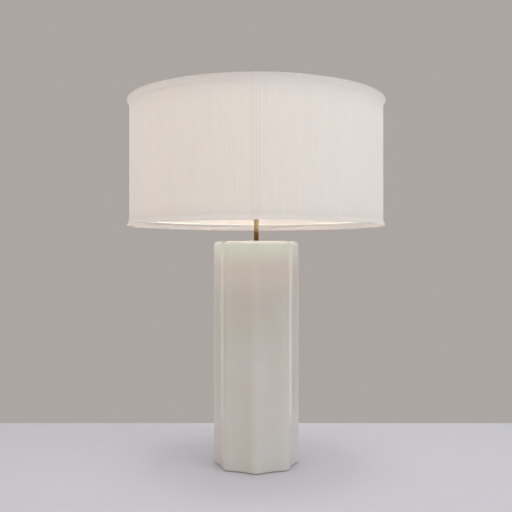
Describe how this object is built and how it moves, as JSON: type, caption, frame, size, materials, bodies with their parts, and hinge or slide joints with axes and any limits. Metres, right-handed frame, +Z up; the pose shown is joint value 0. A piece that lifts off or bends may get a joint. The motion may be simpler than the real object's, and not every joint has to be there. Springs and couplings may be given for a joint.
{
  "type": "table lamp",
  "caption": "Fluted ceramic column lamp on a felt foot, with a brass stem, switched socket, wire harp and a wide pleated drum shade.",
  "frame": {"origin": "on the lamp's axis, on the surface that it stands on", "axes": "+Z up along the column; -Y to the front, where the switch knob and one ridge of the column face"},
  "size_m": [0.5079, 0.508, 0.712],
  "materials": {
    "felt": "short felt, charcoal",
    "ceramic": "glossy ivory glaze with a faint green cast",
    "steel": "zinc plated",
    "brass": "antique satin brass",
    "rubber": "soft ivory bush",
    "cardboard": "pressed insulating board",
    "phenolic": "moulded, dark",
    "aluminium": "rolled thread metal",
    "black_glass": "fused insulator",
    "opal_glass": "frosted, warm white",
    "filament": "phosphor coated light strips",
    "white_wire": "white powder coat",
    "cloth": "fine knife pleats, warm white, lets light through"
  },
  "bodies": {
    "base": {"ceramic_column": "ceramic", "felt_pad": "felt", "bottom_plate": "steel", "lock_washer": "steel", "foot_nut": "steel", "tie_rod": "steel", "cord_inlet_bush": "rubber", "seat_ring": "brass", "brass_stem": "brass", "saddle_nut": "brass", "harp_saddle": "brass", "harp_wire": "brass", "harp_stud": "brass", "socket_cap": "brass", "socket_shell": "brass", "socket_liner": "cardboard", "socket_core": "phenolic", "screw_shell": "aluminium", "centre_contact": "brass", "terminal_screws": "brass"},
    "switch": {"switch_shaft": "steel", "switch_knob": "brass"},
    "bulb": {"bulb_tip": "steel", "bulb_insulator": "black_glass", "bulb_screw_base": "aluminium", "bulb_globe": "opal_glass", "bulb_mount": "opal_glass", "bulb_filaments": "filament"},
    "ferrule_left": {"ferrule_left": "brass"},
    "ferrule_right": {"ferrule_right": "brass"},
    "shade": {"spider_hub": "white_wire", "spider_arm_1": "white_wire", "spider_arm_2": "white_wire", "spider_arm_3": "white_wire", "lower_ring": "white_wire", "upper_ring": "white_wire", "shade_cover": "cloth"},
    "finial": {"finial": "brass"}
  },
  "joints": [
    {"name": "shade_turn", "type": "hinge", "parent": "base", "child": "shade", "pos_m": [0, 0, 0.682], "axis": [0, 0, 1], "continuous": true},
    {"name": "finial_turn", "type": "hinge", "parent": "base", "child": "finial", "pos_m": [0, 0, 0.684], "axis": [0, 0, 1], "continuous": true},
    {"name": "bulb_turn", "type": "hinge", "parent": "base", "child": "bulb", "pos_m": [0, 0, 0.5327], "axis": [0, 0, 1], "continuous": true},
    {"name": "switch_turn", "type": "hinge", "parent": "base", "child": "switch", "pos_m": [0, -0.018, 0.5201], "axis": [0, -1, 0], "continuous": true},
    {"name": "ferrule_left_slide", "type": "slide", "parent": "base", "child": "ferrule_left", "axis": [0, 0, 1], "range_m": [0, 0.018]},
    {"name": "ferrule_right_slide", "type": "slide", "parent": "base", "child": "ferrule_right", "axis": [0, 0, 1], "range_m": [0, 0.018]}
  ]
}
